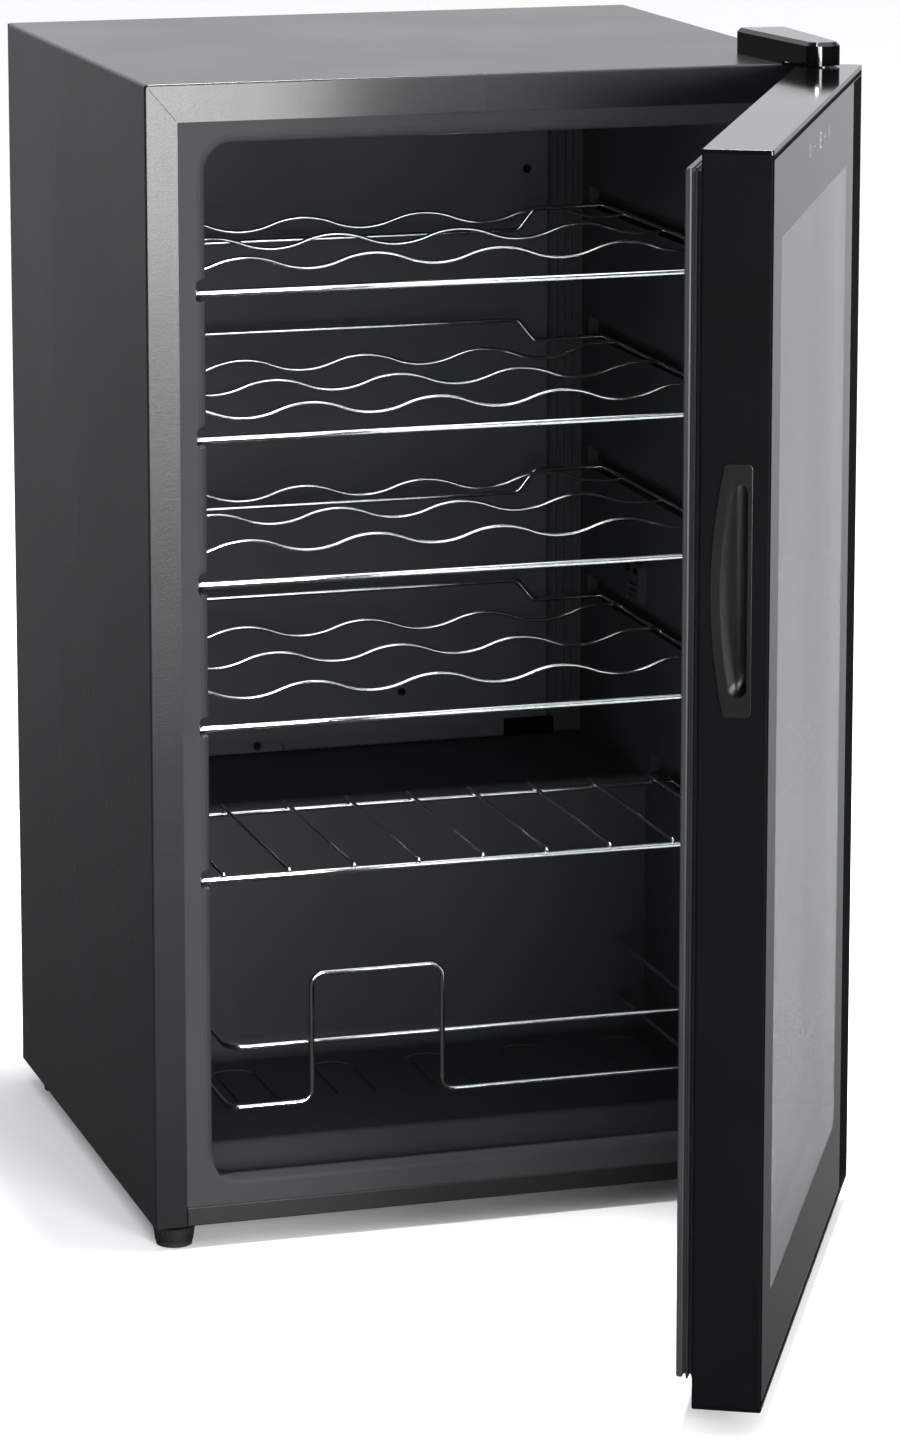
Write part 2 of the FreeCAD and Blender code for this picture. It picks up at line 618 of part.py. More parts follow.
CROSS_ROD = 3.0
CROSS_PITCH = 46.5
level = FLAT_SHELF_Z
flat = [straight_rod((-ROD_X, SHELF_FRONT_Y, level), (ROD_X, SHELF_FRONT_Y, level), FRONT_ROD)]
flat.append(straight_rod((-ROD_X + 2, FLAT_REAR_Y, level), (ROD_X - 2, FLAT_REAR_Y, level), SHELF_ROD))
flat += both_sides(side_rod(FLAT_REAR_Y + 8, level))
for k in range(-4, 5):
    x = k * CROSS_PITCH
    top = level + FRONT_ROD / 2 + CROSS_ROD / 2 - 0.3
    cross = straight_rod((x, SHELF_FRONT_Y - 1, top), (x, FLAT_REAR_Y + 9, top), CROSS_ROD)
    ball = Part.makeSphere(CROSS_ROD * 0.72, Vector(x, SHELF_FRONT_Y - 1, top))
    flat.append(cross.fuse(ball).cut(flat[0]).cut(flat[1]))
nodes["flat_wire_shelf"] = group(flat)

# ---- bottle fence: two bent rods that plug into the hump's face ---------------
FENCE_Y = -165.0
FENCE_X = 174.6
FENCE_LOW = 82.8
FENCE_HIGH = 125.0
FENCE_ROD = 4.0
LOOP_X0 = -115.4
LOOP_X1 = -20.0
LOOP_TOP = 175.0
upper_path = [
    (-FENCE_X, HUMP_Y, FENCE_HIGH),
    (-FENCE_X, FENCE_Y + FENCE_ROD, FENCE_HIGH),
    (FENCE_X, FENCE_Y + FENCE_ROD, FENCE_HIGH),
    (FENCE_X, HUMP_Y, FENCE_HIGH),
]
lower_path = [
    (-FENCE_X, HUMP_Y, FENCE_LOW),
    (-FENCE_X, FENCE_Y, FENCE_LOW),
    (LOOP_X0, FENCE_Y, FENCE_LOW),
    (LOOP_X0, FENCE_Y, LOOP_TOP),
    (LOOP_X1, FENCE_Y, LOOP_TOP),
    (LOOP_X1, FENCE_Y, FENCE_LOW),
    (FENCE_X, FENCE_Y, FENCE_LOW),
    (FENCE_X, HUMP_Y, FENCE_LOW),
]
upper = bent_rod(upper_path, FENCE_ROD, 12.0)
lower = bent_rod(lower_path, FENCE_ROD, 9.0)
nodes["bottle_fence"] = group([upper, lower])

# ---- feet --------------------------------------------------------------------
foot_nuts = []
nut_wells = []
for side, word in ((-1, "left"), (1, "right")):
    x = side * FOOT_X
    body = Part.makeCone(13.2, 14.8, 10.4, Vector(x, FOOT_Y, SOLE + 0.1))
    for k in range(24):
        angle = math.radians(15 * k)
        groove = tube_z(x + 15.0 * math.cos(angle), FOOT_Y + 15.0 * math.sin(angle), SOLE, 12.2, 0.9)
        body = body.cut(groove)
    stud = tube_z(x, FOOT_Y, 13.0, 40.0, STUD_R)
    nodes["levelling_foot_" + word] = join([body, stud])
    nodes["foot_sole_" + word] = tube_z(x, FOOT_Y, 0, SOLE, 12.5)
    foot_nuts.append(tube_z(x, FOOT_Y, BODY_Z0 + SHEET, 36.0, NUT_R, STUD_BORE_R))
    nut_wells.append(tube_z(x, FOOT_Y, BODY_Z0, 44.0, NUT_R))
nodes["levelling_foot_nuts"] = group(foot_nuts)
rear_feet = []
for side in (-1, 1):
    rear_feet.append(Part.makeCone(11.0, 13.0, BODY_Z0, Vector(side * REAR_FOOT_X, REAR_FOOT_Y, 0)))
nodes["rear_feet"] = group(rear_feet)
nodes["compressor_base_plate"] = compressor_plate

# ---- hinges ------------------------------------------------------------------
LIFT = 2.2
top_plate = slab_z(211, 235.6, -208, -146, 4, BODY_Z1, BODY_Z1 + 2.5)
arm = slab_z(217, 235.6, -251, -200, 8, BODY_Z1 + LIFT, BODY_Z1 + LIFT + 2.5)
top_pin = tube_z(HINGE_X, HINGE_Y, DOOR_Z1 - 10.5, BODY_Z1 + LIFT + 0.5, PIN_R)
nodes["top_hinge_bracket"] = join([top_plate, arm, top_pin])
hinge_holes = [(216.5, -152), (229.5, -152), (216.5, -186)]
top_screws = []
for x, y in hinge_holes:
    nodes["top_hinge_bracket"] = nodes["top_hinge_bracket"].cut(tube_z(x, y, BODY_Z1 - 1, BODY_Z1 + 4, 2.6))
    nodes["outer_wrap"] = nodes["outer_wrap"].cut(tube_z(x, y, BODY_Z1 - 3, BODY_Z1 + 3, 2.6))
    top_screws.append(screw(x, y, BODY_Z1 + 2.5, (0, 0, 1), 4.6, 2.4, 2.5, 13.0))
nodes["top_hinge_screws"] = group(top_screws)

COVER_TOP = BODY_Z1 + 18.0


def hinge_cap(inset):
    tip = 12.4 - inset
    z0 = BODY_Z1 + (0.0 if inset == 0 else -1.0)
    plan = [(201 + inset, -137.5 - inset, z0), (238 - inset, -143 - inset, z0),
            (HINGE_X + tip - 2.0, HINGE_Y - tip, z0), (HINGE_X - tip - 1.0, HINGE_Y - tip, z0)]
    height = COVER_TOP - inset - z0
    return prism(plan, [5 - inset, 5 - inset, tip * 0.75, tip * 0.75], (0, 0, height))


cap = hinge_cap(0)
top_rim = [e for e in cap.Edges if e.BoundBox.ZMin > COVER_TOP - 0.01]
cap = cap.makeChamfer(2.6, top_rim)
cap = cap.cut(hinge_cap(1.8))
over_door = box(150, 300, -300, FRONT_Y + 0.5, BODY_Z1 - 1, DOOR_Z1 + 1.0)
cap = cap.cut(over_door)
nodes["top_hinge_cover"] = cap

BOTTOM_PLATE = 2.2
bottom_arm = slab_z(206, 237, -255, -168, 5, BODY_Z0 - BOTTOM_PLATE, BODY_Z0)
bottom_arm = bottom_arm.cut(tube_z(FOOT_X, FOOT_Y, 0, 30, 4.6))
bottom_pin = tube_z(HINGE_X, HINGE_Y, BODY_Z0 - 1, DOOR_Z0 + 12, PIN_R)
bottom_bracket = join([bottom_arm, bottom_pin])
bottom_holes = [(213, -176), (231, -173)]
for x, y in bottom_holes:
    bottom_bracket = bottom_bracket.cut(tube_z(x, y, 10, 20, 2.6))
    nodes["stepped_base_sheet"] = nodes["stepped_base_sheet"].cut(tube_z(x, y, 10, 20, 2.6))
nodes["bottom_hinge_bracket"] = bottom_bracket
nodes["bottom_hinge_screws"] = group(
    [screw(x, y, BODY_Z0 - BOTTOM_PLATE, (0, 0, -1), 4.4, 2.0, 2.5, 10.0) for x, y in bottom_holes])

# ---- foam: everything between the wrap and the liner ---------------------------
foam_x = inside_x - 0.2
foam = slab_y(-foam_x, foam_x, BODY_Z0 + SHEET, BODY_Z1 - SHEET - 0.2, 2.4, FRONT_Y + 10, BACK_Y - 1.8)
foam = foam.cut(liner_outer.fuse(cavity(0.5)))
foam = foam.cut(box(-300, 300, BAY_Y - SHEET, 300, 0, BAY_Z + SHEET))
foam = foam.cut(box(-300, 300, FRONT_Y - 5, base_front, 0, BODY_Z0 + RAIL_HEIGHT + 0.5))
for well in nut_wells + [tube_z(x, y, BODY_Z1 - 14, BODY_Z1 + 5, 3.5) for x, y in hinge_holes]:
    foam = foam.cut(well)
for x, y in bottom_holes:
    foam = foam.cut(tube_z(x, y, 10, 30, 3.0))
condenser_z = [120.0 + 84.0 * k for k in range(8)]
loops = []
cx = inside_x - 6.0
for side in (-1, 1):
    path = [(side * cx, 60.0, condenser_z[0])]
    for k, z in enumerate(condenser_z):
        turn = -150.0 if k % 2 == 0 else 60.0
        path.append((side * cx, turn, z))
        if k + 1 < len(condenser_z):
            path.append((side * cx, turn, condenser_z[k + 1]))
    path.append((side * cx, 60.0 if len(condenser_z) % 2 == 0 else -150.0, condenser_z[-1]))
    clean = [path[0]]
    for point in path[1:]:
        if point != clean[-1]:
            clean.append(point)
    loops.append(bent_rod(clean, 4.8, 16.0))
nodes["condenser_tubes"] = group(loops)
for loop in loops:
    foam = foam.cut(loop)
foam = foam.cut(tube_z(COMP_X + 30, COMP_Y, BAY_Z, 245.1, 6.0))
drain_hole = tube_z(COMP_X + 30, COMP_Y, BAY_Z - 5, BAY_Z + 5, 6.2)
nodes["stepped_base_sheet"] = nodes["stepped_base_sheet"].cut(drain_hole)
nodes["insulation_foam"] = foam
nodes["inner_liner"] = inner_liner

# ---- door, built shut and then turned open about its hinge ---------------------


def frame_ring(x_out, z0, z1, width, y0, y1):
    """A rectangular ring lying in the door's plane."""
    outer = box(-x_out, x_out, y0, y1, z0, z1)
    return outer.cut(box(-x_out + width, x_out - width, y0 - 1, y1 + 1, z0 + width, z1 - width))


door = {}
front = DOOR_OUTER_Y
back = DOOR_INNER_Y
z0 = DOOR_Z0 + CAP
z1 = DOOR_Z1 - CAP
frame = box(-SIDE_X, SIDE_X, front, back, z0, z1)
upright = [e for e in frame.Edges if e.BoundBox.ZLength > 500]
frame = frame.makeFillet(1.5, upright)
frame = frame.cut(box(-WINDOW_X, WINDOW_X, front - 1, back + 1, WINDOW_Z0, WINDOW_Z1))
wall_x = SIDE_X - DOOR_WALL
rim_x = WINDOW_X + DOOR_WALL
unit_back = front + GLASS + SPACER + GLASS
channel = box(-wall_x, wall_x, front - 1, back - DOOR_WALL, z0 + DOOR_WALL, z1 - DOOR_WALL)
window_rim = box(-rim_x, rim_x, unit_back, back, WINDOW_Z0 - DOOR_WALL, WINDOW_Z1 + DOOR_WALL)
channel = channel.cut(window_rim)
frame = frame.cut(channel)
ledge = frame_ring(SIDE_X - 1, z0 + 1, z1 - 1, 6.0, front + GLASS, front + GLASS + 2.0)
GASKET_X = 228.0
GASKET_Z0 = 32.5
GASKET_Z1 = 794.8
backing = frame_ring(GASKET_X - 5, GASKET_Z0 + 5, GASKET_Z1 - 5, 10.0, back - 6.0, back - 1.0)
frame = join([frame, ledge, backing])
groove = frame_ring(GASKET_X - 8, GASKET_Z0 + 8, GASKET_Z1 - 8, 4.0, back - 4.2, back + 1)
frame = frame.cut(groove)
for z in (z0 - 1, z1 - 8):
    frame = frame.cut(tube_z(HINGE_X, HINGE_Y, z, z + 9, 7.0))


def handle_outline(side_out, arc_mid, arc_end, half, corner, x):
    """D-shaped outline on the free edge: a straight side and a long shallow arc."""
    y_side = back - side_out
    y_mid = back - arc_mid
    y_end = back - arc_end
    a = Vector(x, y_side, HANDLE_Z - half + corner)
    b = Vector(x, y_side, HANDLE_Z + half - corner)
    c = Vector(x, y_side + corner, HANDLE_Z + half)
    d = Vector(x, y_end - corner, HANDLE_Z + half)
    e = Vector(x, y_end, HANDLE_Z + half - corner)
    f = Vector(x, y_end, HANDLE_Z - half + corner)
    g = Vector(x, y_end - corner, HANDLE_Z - half)
    h = Vector(x, y_side + corner, HANDLE_Z - half)
    k = corner * (1 - math.sqrt(0.5))
    edges = [
        Part.LineSegment(a, b).toShape(),
        Part.Arc(b, Vector(x, y_side + k, HANDLE_Z + half - k), c).toShape(),
        Part.LineSegment(c, d).toShape(),
        Part.Arc(d, Vector(x, y_end - k, HANDLE_Z + half - k), e).toShape(),
        Part.Arc(e, Vector(x, y_mid, HANDLE_Z), f).toShape(),
        Part.Arc(f, Vector(x, y_end - k, HANDLE_Z - half + k), g).toShape(),
        Part.LineSegment(g, h).toShape(),
        Part.Arc(h, Vector(x, y_side + k, HANDLE_Z - half + k), a).toShape(),
    ]
    return Part.Face(Part.Wire(edges))


edge_x = -SIDE_X
pocket_depth = 24.0
hole = handle_outline(31.6, 11.0, 17.5, 70.0, 6.0, edge_x - 1).extrude(Vector(6, 0, 0))
frame = frame.cut(hole)
bezel = handle_outline(33.0, 7.4, 15.2, HANDLE_HALF, 3.0, edge_x - 1.0).extrude(Vector(1.0, 0, 0))
bezel = bezel.makeFillet(0.4, [e for e in bezel.Edges if e.BoundBox.XMax < edge_x - 0.99])
cup = handle_outline(31.5, 11.1, 17.6, 69.9, 6.0, edge_x).extrude(Vector(pocket_depth, 0, 0))
mouth = handle_outline(30.2, 13.3, 18.8, 66.0, 5.5, edge_x - 2).extrude(Vector(14, 0, 0))
deep = slab_x(back - 30.0, back - 21.6, HANDLE_Z - 65, HANDLE_Z + 65, 3.5,
              edge_x + 10, edge_x + pocket_depth - 1.6)
door["handle_pocket"] = join([bezel, cup]).cut(mouth).cut(deep)
door["door_frame"] = frame

for name, low, high in (("door_bottom_cap", DOOR_Z0, z0), ("door_top_cap", z1, DOOR_Z1)):
    cap_plate = box(-SIDE_X, SIDE_X, front, back, low, high)
    upright = [e for e in cap_plate.Edges if e.BoundBox.ZLength > 2.9]
    cap_plate = cap_plate.makeFillet(1.5, upright)
    outer = low if low == DOOR_Z0 else high
    rim = [e for e in cap_plate.Edges if e.BoundBox.ZLength < 0.01 and abs(e.BoundBox.ZMin - outer) < 0.01]
    cap_plate = cap_plate.makeFillet(0.8, rim)
    door[name] = cap_plate.cut(tube_z(HINGE_X, HINGE_Y, low - 1, high + 1, 7.0))
glass_gap = 0.8
glass_x = SIDE_X - DOOR_WALL - glass_gap
glass_z0 = z0 + DOOR_WALL + glass_gap
glass_z1 = z1 - DOOR_WALL - glass_gap
door["outer_glass"] = slab_y(-glass_x, glass_x, glass_z0, glass_z1, 1.5, front, front + GLASS)
unit_x = WINDOW_X + 6
unit_z0 = WINDOW_Z0 - 6
unit_z1 = WINDOW_Z1 + 6
door["glass_spacer_bar"] = frame_ring(unit_x, unit_z0, unit_z1, 7.0, front + GLASS, front + GLASS + SPACER)
door["inner_glass"] = box(-unit_x, unit_x, unit_back - GLASS, unit_back, unit_z0, unit_z1)

folds = [
    (0.0, 20.0, back, back + 1.4),
    (2.2, 15.6, back + 1.4, back + 3.6),
    (0.4, 19.0, back + 3.6, back + 4.8),
    (2.4, 15.0, back + 4.8, back + 6.8),
    (0.8, 17.5, back + 6.8, back + 11.7),
]
rings = [frame_ring(GASKET_X - 8.2, GASKET_Z0 + 8.2, GASKET_Z1 - 8.2, 3.6, back - 3.8, back)]
for inset, width, near, far in folds:
    rings.append(frame_ring(GASKET_X - inset, GASKET_Z0 + inset, GASKET_Z1 - inset, width, near, far))
gasket = join(rings)
magnet_y0 = back + 7.8
magnet_y1 = back + 10.4
magnet_ring = frame_ring(GASKET_X - 5, GASKET_Z0 + 5, GASKET_Z1 - 5, 8.0, magnet_y0, magnet_y1)
gasket = gasket.cut(magnet_ring)
door["door_gasket"] = gasket
strip_y0 = magnet_y0 + 0.1
strip_y1 = magnet_y1 - 0.1
strip_x = GASKET_X - 14
upright = box(GASKET_X - 12.9, GASKET_X - 5.1, strip_y0, strip_y1, GASKET_Z0 + 14, GASKET_Z1 - 14)
magnets = both_sides(upright)
magnets.append(box(-strip_x, strip_x, strip_y0, strip_y1, GASKET_Z0 + 5.1, GASKET_Z0 + 12.9))
magnets.append(box(-strip_x, strip_x, strip_y0, strip_y1, GASKET_Z1 - 12.9, GASKET_Z1 - 5.1))
door["gasket_magnets"] = group(magnets)
KEYS_Z = 784.0
door["touch_control_board"] = box(-80, 80, front + 9.0, front + 10.6, KEYS_Z - 15, KEYS_Z + 14)
door["display_block"] = slab_y(-14, 14, KEYS_Z - 8, KEYS_Z + 8, 1.0, front + GLASS, front + 9.0)
BUSH = 12.0
for name, low in (("top_hinge_bush", DOOR_Z1 - BUSH), ("bottom_hinge_bush", DOOR_Z0)):
    door[name] = tube_z(HINGE_X, HINGE_Y, low, low + BUSH, 6.95, BUSH_BORE_R)
cap_screws = []
for x in (-215, 0, 190):
    cap_screws.append(screw(x, front + 24, DOOR_Z0, (0, 0, -1), 3.0, 1.1, 1.6, 9.0))
    door["door_bottom_cap"] = door["door_bottom_cap"].cut(tube_z(x, front + 24, DOOR_Z0 - 1, z0 + 1, 1.65))
    door["door_frame"] = door["door_frame"].cut(tube_z(x, front + 24, z0 - 1, z0 + 8, 1.65))
door["door_cap_screws"] = group(cap_screws)

for name, shape in door.items():
    shape.rotate(Vector(HINGE_X, HINGE_Y, 0), Vector(0, 0, 1), DOOR_OPEN)
    nodes[name] = shape

for name, shape in nodes.items():
    shape.exportStep("parts/%s.step" % name)
    print("%-24s %2d solids, valid %s" % (name, len(shape.Solids), shape.isValid()))
print(len(nodes), "nodes")
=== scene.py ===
import json
from math import cos, pi, radians, sin

import bmesh
import bpy
from mathutils import Matrix, Vector


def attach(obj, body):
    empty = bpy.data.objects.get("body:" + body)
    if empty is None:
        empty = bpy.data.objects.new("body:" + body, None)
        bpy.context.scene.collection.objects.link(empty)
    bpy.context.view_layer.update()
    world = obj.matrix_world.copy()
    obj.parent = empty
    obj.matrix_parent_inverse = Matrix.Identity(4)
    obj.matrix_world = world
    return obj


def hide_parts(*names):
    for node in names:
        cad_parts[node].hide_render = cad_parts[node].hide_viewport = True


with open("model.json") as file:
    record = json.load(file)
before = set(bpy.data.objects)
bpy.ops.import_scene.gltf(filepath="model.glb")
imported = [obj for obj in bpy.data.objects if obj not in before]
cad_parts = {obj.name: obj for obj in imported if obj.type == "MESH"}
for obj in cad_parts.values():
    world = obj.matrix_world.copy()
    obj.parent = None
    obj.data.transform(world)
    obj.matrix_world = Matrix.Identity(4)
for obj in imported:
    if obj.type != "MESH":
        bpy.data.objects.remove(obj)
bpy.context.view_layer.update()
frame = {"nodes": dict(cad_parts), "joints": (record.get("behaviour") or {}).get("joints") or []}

# ---- camera ---------------------------------------------------------------------------
# A long lens, a little above the top of the cooler and to its left. The drop of the
# lens keeps the uprights near upright.
MM = 0.001
LOOK_DOWN = 10.21
LOOK_RIGHT = 16.91
camera_data = bpy.data.cameras.new("camera")
camera_data.lens = 131.7
camera_data.shift_y = -0.20
camera_data.clip_end = 100.0
camera = bpy.data.objects.new("camera", camera_data)
camera.location = (-1.066, -3.6245, 1.2015)
camera.rotation_euler = (radians(90 - LOOK_DOWN), 0, radians(-LOOK_RIGHT))
bpy.context.scene.collection.objects.link(camera)
bpy.context.scene.camera = camera
bpy.context.scene.view_settings.view_transform = "Standard"


# ---- studio ---------------------------------------------------------------------------
# A white seamless floor under an even white room. Gloss sees a softer room instead: one
# glow from behind on the right, one from above in front, and gloom elsewhere.
def linear(code):
    """An sRGB hex colour as the linear colour that a shader takes."""
    channels = [int(code[i:i + 2], 16) / 255 for i in (1, 3, 5)]
    return [c / 12.92 if c <= 0.04045 else ((c + 0.055) / 1.055) ** 2.4 for c in channels] + [1.0]


def add(tree, kind, inputs=None, **settings):
    """Adds a node. Each input is a plain value or the socket that feeds it."""
    made = tree.nodes.new(kind)
    for name, value in settings.items():
        setattr(made, name, value)
    for socket, value in (inputs or {}).items():
        if isinstance(value, bpy.types.NodeSocket):
            tree.links.new(value, made.inputs[socket])
        else:
            made.inputs[socket].default_value = value
    return made


def start(name):
    """An empty material: itself, its nodes and the shader that is its surface."""
    material = bpy.data.materials.new(name)
    material.use_nodes = True
    tree = material.node_tree
    return material, tree, tree.nodes["Principled BSDF"]


ROOM_LIGHT = 1.0
ROOM_GLOOM = 0.055
# Each glow: its direction, the cosines at its edge and at its full middle, its strength.
GLOWS = (
    ((0.25, 0.82, 0.51), 0.52, 0.94, 0.92),
    ((0.28, -0.50, 0.82), 0.72, 0.97, 2.6),
)
world = bpy.data.worlds.new("room")
world.use_nodes = True
bpy.context.scene.world = world
room = world.node_tree
direction = add(room, "ShaderNodeTexCoord").outputs["Generated"]
seen = ROOM_GLOOM
for towards, edge, middle, strength in GLOWS:
    lined_up = add(room, "ShaderNodeVectorMath", {0: direction, 1: towards}, operation="DOT_PRODUCT")
    glow = add(room, "ShaderNodeMapRange", {
        "Value": lined_up.outputs["Value"], "From Min": edge, "From Max": middle, "To Max": strength,
    }, interpolation_type="SMOOTHSTEP")
    seen = add(room, "ShaderNodeMath", {0: seen, 1: glow.outputs["Result"]}).outputs[0]
ray = add(room, "ShaderNodeLightPath").outputs["Is Glossy Ray"]
level = add(room, "ShaderNodeMix", {0: ray, 2: ROOM_LIGHT, 3: seen}, data_type="FLOAT").outputs[0]
room.nodes["Background"].inputs["Color"].default_value = linear("#fbfcff")
room.links.new(level, room.nodes["Background"].inputs["Strength"])

# Matte paper: white, with no sheen, and left out of what the gloss sees.
bpy.ops.mesh.primitive_plane_add(size=80, location=(0, 20, 0))
floor = bpy.context.object
floor.name = "studio_floor"
paper, tree, shader = start("matte_white_paper")
shader.inputs["Base Color"].default_value = linear("#fcfcfc")
shader.inputs["Roughness"].default_value = 0.95
shader.inputs["Specular IOR Level"].default_value = 0.1
floor.data.materials.append(paper)
floor.visible_glossy = False


def softbox(name, place, aim, size, power):
    """A rectangular lamp at a place, turned to its aim, that the camera doesn't see."""
    data = bpy.data.lights.new(name, "AREA")
    data.shape = "RECTANGLE"
    data.size, data.size_y = size
    data.energy = power
    lamp = bpy.data.objects.new(name, data)
    lamp.location = place
    lamp.rotation_euler = (Vector(aim) - Vector(place)).to_track_quat("-Z", "Y").to_euler()
    lamp.visible_camera = False
    bpy.context.scene.collection.objects.link(lamp)


softbox("front_softbox", (0.45, -3.0, 0.71), (-0.1, 0.0, 0.5), (0.76, 1.04), 80.0)
softbox("low_fill", (-0.45, -3.3, 0.62), (-0.05, 0.1, 0.30), (0.8, 0.8), 60.0)
softbox("top_key", (0.25, -0.10, 3.3), (0.05, -0.1, 0.0), (0.6, 0.6), 190.0)


# ---- outer wrap, front rail, rear panel and compressor shell --------------------------
# Pre-coated steel sheet, folded round the sides, top and front strips, with a separate
# rail under the door opening and a panel screwed on behind. The shell is enamelled.
DRIFT_MM = 160.0
SPECK_MM = 0.8


def give(material, *names):
    """The finish of one or more of the design's own pieces."""
    for name in names:
        for place in frame["nodes"][name].material_slots:
            place.material = material


def coated_sheet(name, shade, worn, roughness, gloss, peel_mm, peel_depth):
    """A baked coat: orange peel and specks, with slow drifts in its tone and gloss."""
    material, tree, shader = start(name)
    place = add(tree, "ShaderNodeTexCoord").outputs["Object"]
    drift = add(tree, "ShaderNodeTexNoise", {
        "Vector": place, "Scale": 1 / (DRIFT_MM * MM), "Detail": 2.0,
    }).outputs["Fac"]
    peel = add(tree, "ShaderNodeTexNoise", {
        "Vector": place, "Scale": 1 / (peel_mm * MM), "Detail": 1.0,
    }).outputs["Fac"]
    speck = add(tree, "ShaderNodeTexNoise", {
        "Vector": place, "Scale": 1 / (SPECK_MM * MM), "Detail": 0.0,
    }).outputs["Fac"]
    colour = add(tree, "ShaderNodeMix", {
        0: drift, 6: linear(shade), 7: linear(worn),
    }, data_type="RGBA").outputs[2]
    spread = add(tree, "ShaderNodeMapRange", {
        "Value": drift, "To Min": roughness - 0.04, "To Max": roughness + 0.05,
    }).outputs["Result"]
    grain = add(tree, "ShaderNodeMath", {0: peel, 1: speck}, operation="MULTIPLY").outputs[0]
    bump = add(tree, "ShaderNodeBump", {
        "Height": grain, "Distance": peel_depth * MM, "Strength": 1.0,
    }).outputs["Normal"]
    tree.links.new(colour, shader.inputs["Base Color"])
    tree.links.new(spread, shader.inputs["Roughness"])
    tree.links.new(bump, shader.inputs["Normal"])
    shader.inputs["Specular IOR Level"].default_value = gloss
    return material


# Satin charcoal: near black head on, with broad soft highlights along the folds.
give(coated_sheet("charcoal_polyester_coat", "#111214", "#17181a", 0.27, 0.34, 2.2, 0.05), "outer_wrap")
# Flatter black, so the rail stays darker than the strips beside it.
give(coated_sheet("black_polyester_coat", "#131415", "#1a1b1c", 0.46, 0.30, 1.4, 0.05), "front_base_rail")
# The side that is meant to face a wall: the same paint, rougher.
give(coated_sheet("matte_rear_coat", "#1d1e1f", "#252627", 0.55, 0.35, 1.8, 0.05), "rear_panel")
# Dipped enamel: black and wet looking, with a deep peel.
give(coated_sheet("compressor_enamel", "#0c0c0d", "#151516", 0.28, 0.50, 3.0, 0.08), "compressor_housing")


# ---- galvanised base, brackets and screws ---------------------------------------------
# Hot-dip galvanised sheet for the stepped base and the compressor's plate. The hinge
# brackets, screws, bolts and nuts are zinc plated, or blackened inside the cooler.
def zinc(name, dark, light, crystal_mm, roughness):
    """A metal skin of flat crystals that differ in tone and haze."""
    material, tree, shader = start(name)
    place = add(tree, "ShaderNodeTexCoord").outputs["Object"]
    crystal = add(tree, "ShaderNodeTexVoronoi", {
        "Vector": place, "Scale": 1 / (crystal_mm * MM),
    }).outputs["Color"]
    tone = add(tree, "ShaderNodeSeparateColor", {"Color": crystal}).outputs["Red"]
    colour = add(tree, "ShaderNodeMix", {
        0: tone, 6: linear(dark), 7: linear(light),
    }, data_type="RGBA").outputs[2]
    haze = add(tree, "ShaderNodeMapRange", {
        "Value": tone, "To Min": roughness, "To Max": roughness + 0.14,
    }).outputs["Result"]
    tree.links.new(colour, shader.inputs["Base Color"])
    tree.links.new(haze, shader.inputs["Roughness"])
    shader.inputs["Metallic"].default_value = 1.0
    return material


# Dull grey, with spangles a few millimetres across.
give(
    zinc("galvanised_sheet", "#8b9092", "#b4b8b9", 7.0, 0.34),
    "stepped_base_sheet", "compressor_base_plate",
)
# Brighter and even. The crystals are too fine to see and are drawn at 1.2 mm to show.
give(
    zinc("zinc_plating", "#a4a6a3", "#bcbdb8", 1.2, 0.26),
    "top_hinge_bracket", "top_hinge_screws", "bottom_hinge_bracket", "bottom_hinge_screws",
    "compressor_bolts", "levelling_foot_nuts", "door_cap_screws",
)
# Blackened in a hot bath: dark, with a dull oily shine.
give(zinc("black_oxide_steel", "#0d0d0e", "#1b1b1c", 1.2, 0.34), "interior_screws")
# Bare stacked sheet: mid grey and hazy.
give(zinc("motor_lamination_steel", "#4a4c4e", "#5e6062", 2.0, 0.45), "compressor_motor")


# ---- liner, evaporator cover and the other moulded plastics ---------------------------
# The liner is vacuum-formed in one sheet, and the covers, caps and feet are moulded and
# pushed or screwed on. Most carry the spark-eroded grain of the tool, drawn coarser
# than real, to show.
FLOW_MM = 90.0


def moulded(name, shade, light, roughness, gloss, grain_mm=1.6, depth=0.03):
    """A plastic with tool grain, and slow flow marks in its tone and gloss."""
    material, tree, shader = start(name)
    place = add(tree, "ShaderNodeTexCoord").outputs["Object"]
    flow = add(tree, "ShaderNodeTexNoise", {
        "Vector": place, "Scale": 1 / (FLOW_MM * MM), "Detail": 3.0,
    }).outputs["Fac"]
    grain = add(tree, "ShaderNodeTexNoise", {
        "Vector": place, "Scale": 1 / (grain_mm * MM), "Detail": 2.0,
    }).outputs["Fac"]
    colour = add(tree, "ShaderNodeMix", {
        0: flow, 6: linear(shade), 7: linear(light),
    }, data_type="RGBA").outputs[2]
    spread = add(tree, "ShaderNodeMapRange", {
        "Value": flow, "To Min": roughness - 0.05, "To Max": roughness + 0.05,
    }).outputs["Result"]
    bump = add(tree, "ShaderNodeBump", {
        "Height": grain, "Distance": depth * MM, "Strength": 1.0,
    }).outputs["Normal"]
    tree.links.new(colour, shader.inputs["Base Color"])
    tree.links.new(spread, shader.inputs["Roughness"])
    tree.links.new(bump, shader.inputs["Normal"])
    shader.inputs["Specular IOR Level"].default_value = gloss
    return material


# Formed sheet: charcoal and nearly matte, so the inside stays quiet.
give(
    moulded("formed_polystyrene", "#2a2b2d", "#313234", 0.50, 0.06),
    "inner_liner", "temperature_sensor_cover",
)
# A shade lighter than the liner round it.
give(moulded("grey_moulded_abs", "#303135", "#38393d", 0.55, 0.02), "evaporator_cover")
# Deep black with no shine: the door's edge reads as one dark band.
give(moulded("black_textured_abs", "#040405", "#070709", 0.55, 0.04), "door_frame")
